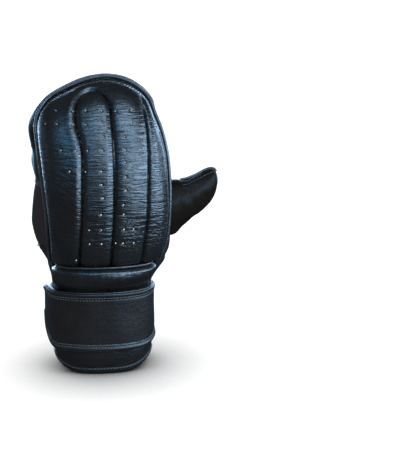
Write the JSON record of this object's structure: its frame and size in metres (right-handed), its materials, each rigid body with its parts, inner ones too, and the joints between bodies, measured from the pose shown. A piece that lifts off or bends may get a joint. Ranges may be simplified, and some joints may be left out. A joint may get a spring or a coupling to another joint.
{
  "type": "bag glove",
  "caption": "Padded leather mitt for bag training, with a ribbed back pad, mesh palm, grip bar, stub thumb and wrap-round wrist strap.",
  "frame": {"origin": "middle of the footprint on the floor, below the cuff", "axes": "+Z from the cuff to the fingertips, +Y out of the palm, +X to the thumb; the back of the hand faces -Y"},
  "size_m": [0.169, 0.0832, 0.2598],
  "materials": {
    "pad_leather": "glossy black cowhide with fine wrinkles",
    "palm_leather": "smooth semi-gloss black cowhide",
    "cuff_leather": "semi-gloss black leather",
    "strap_leather": "satin black leather with double stitching",
    "piping": "glossy rolled leather piping",
    "mesh": "matt open spacer mesh"
  },
  "bodies": {
    "root": {"back_pad": "pad_leather", "pad_piping": "piping", "wrist_roll": "pad_leather", "roll_piping": "piping", "finger_cap": "palm_leather", "grip_bar": "palm_leather", "mesh_welt": "palm_leather", "palm_mesh": "mesh", "mesh_binding": "piping", "heel_panel": "palm_leather", "slit_binding": "piping", "thumb": "palm_leather", "thumb_piping": "piping", "cuff": "cuff_leather", "cuff_binding": "cuff_leather", "strap": "strap_leather"}
  },
  "joints": []
}
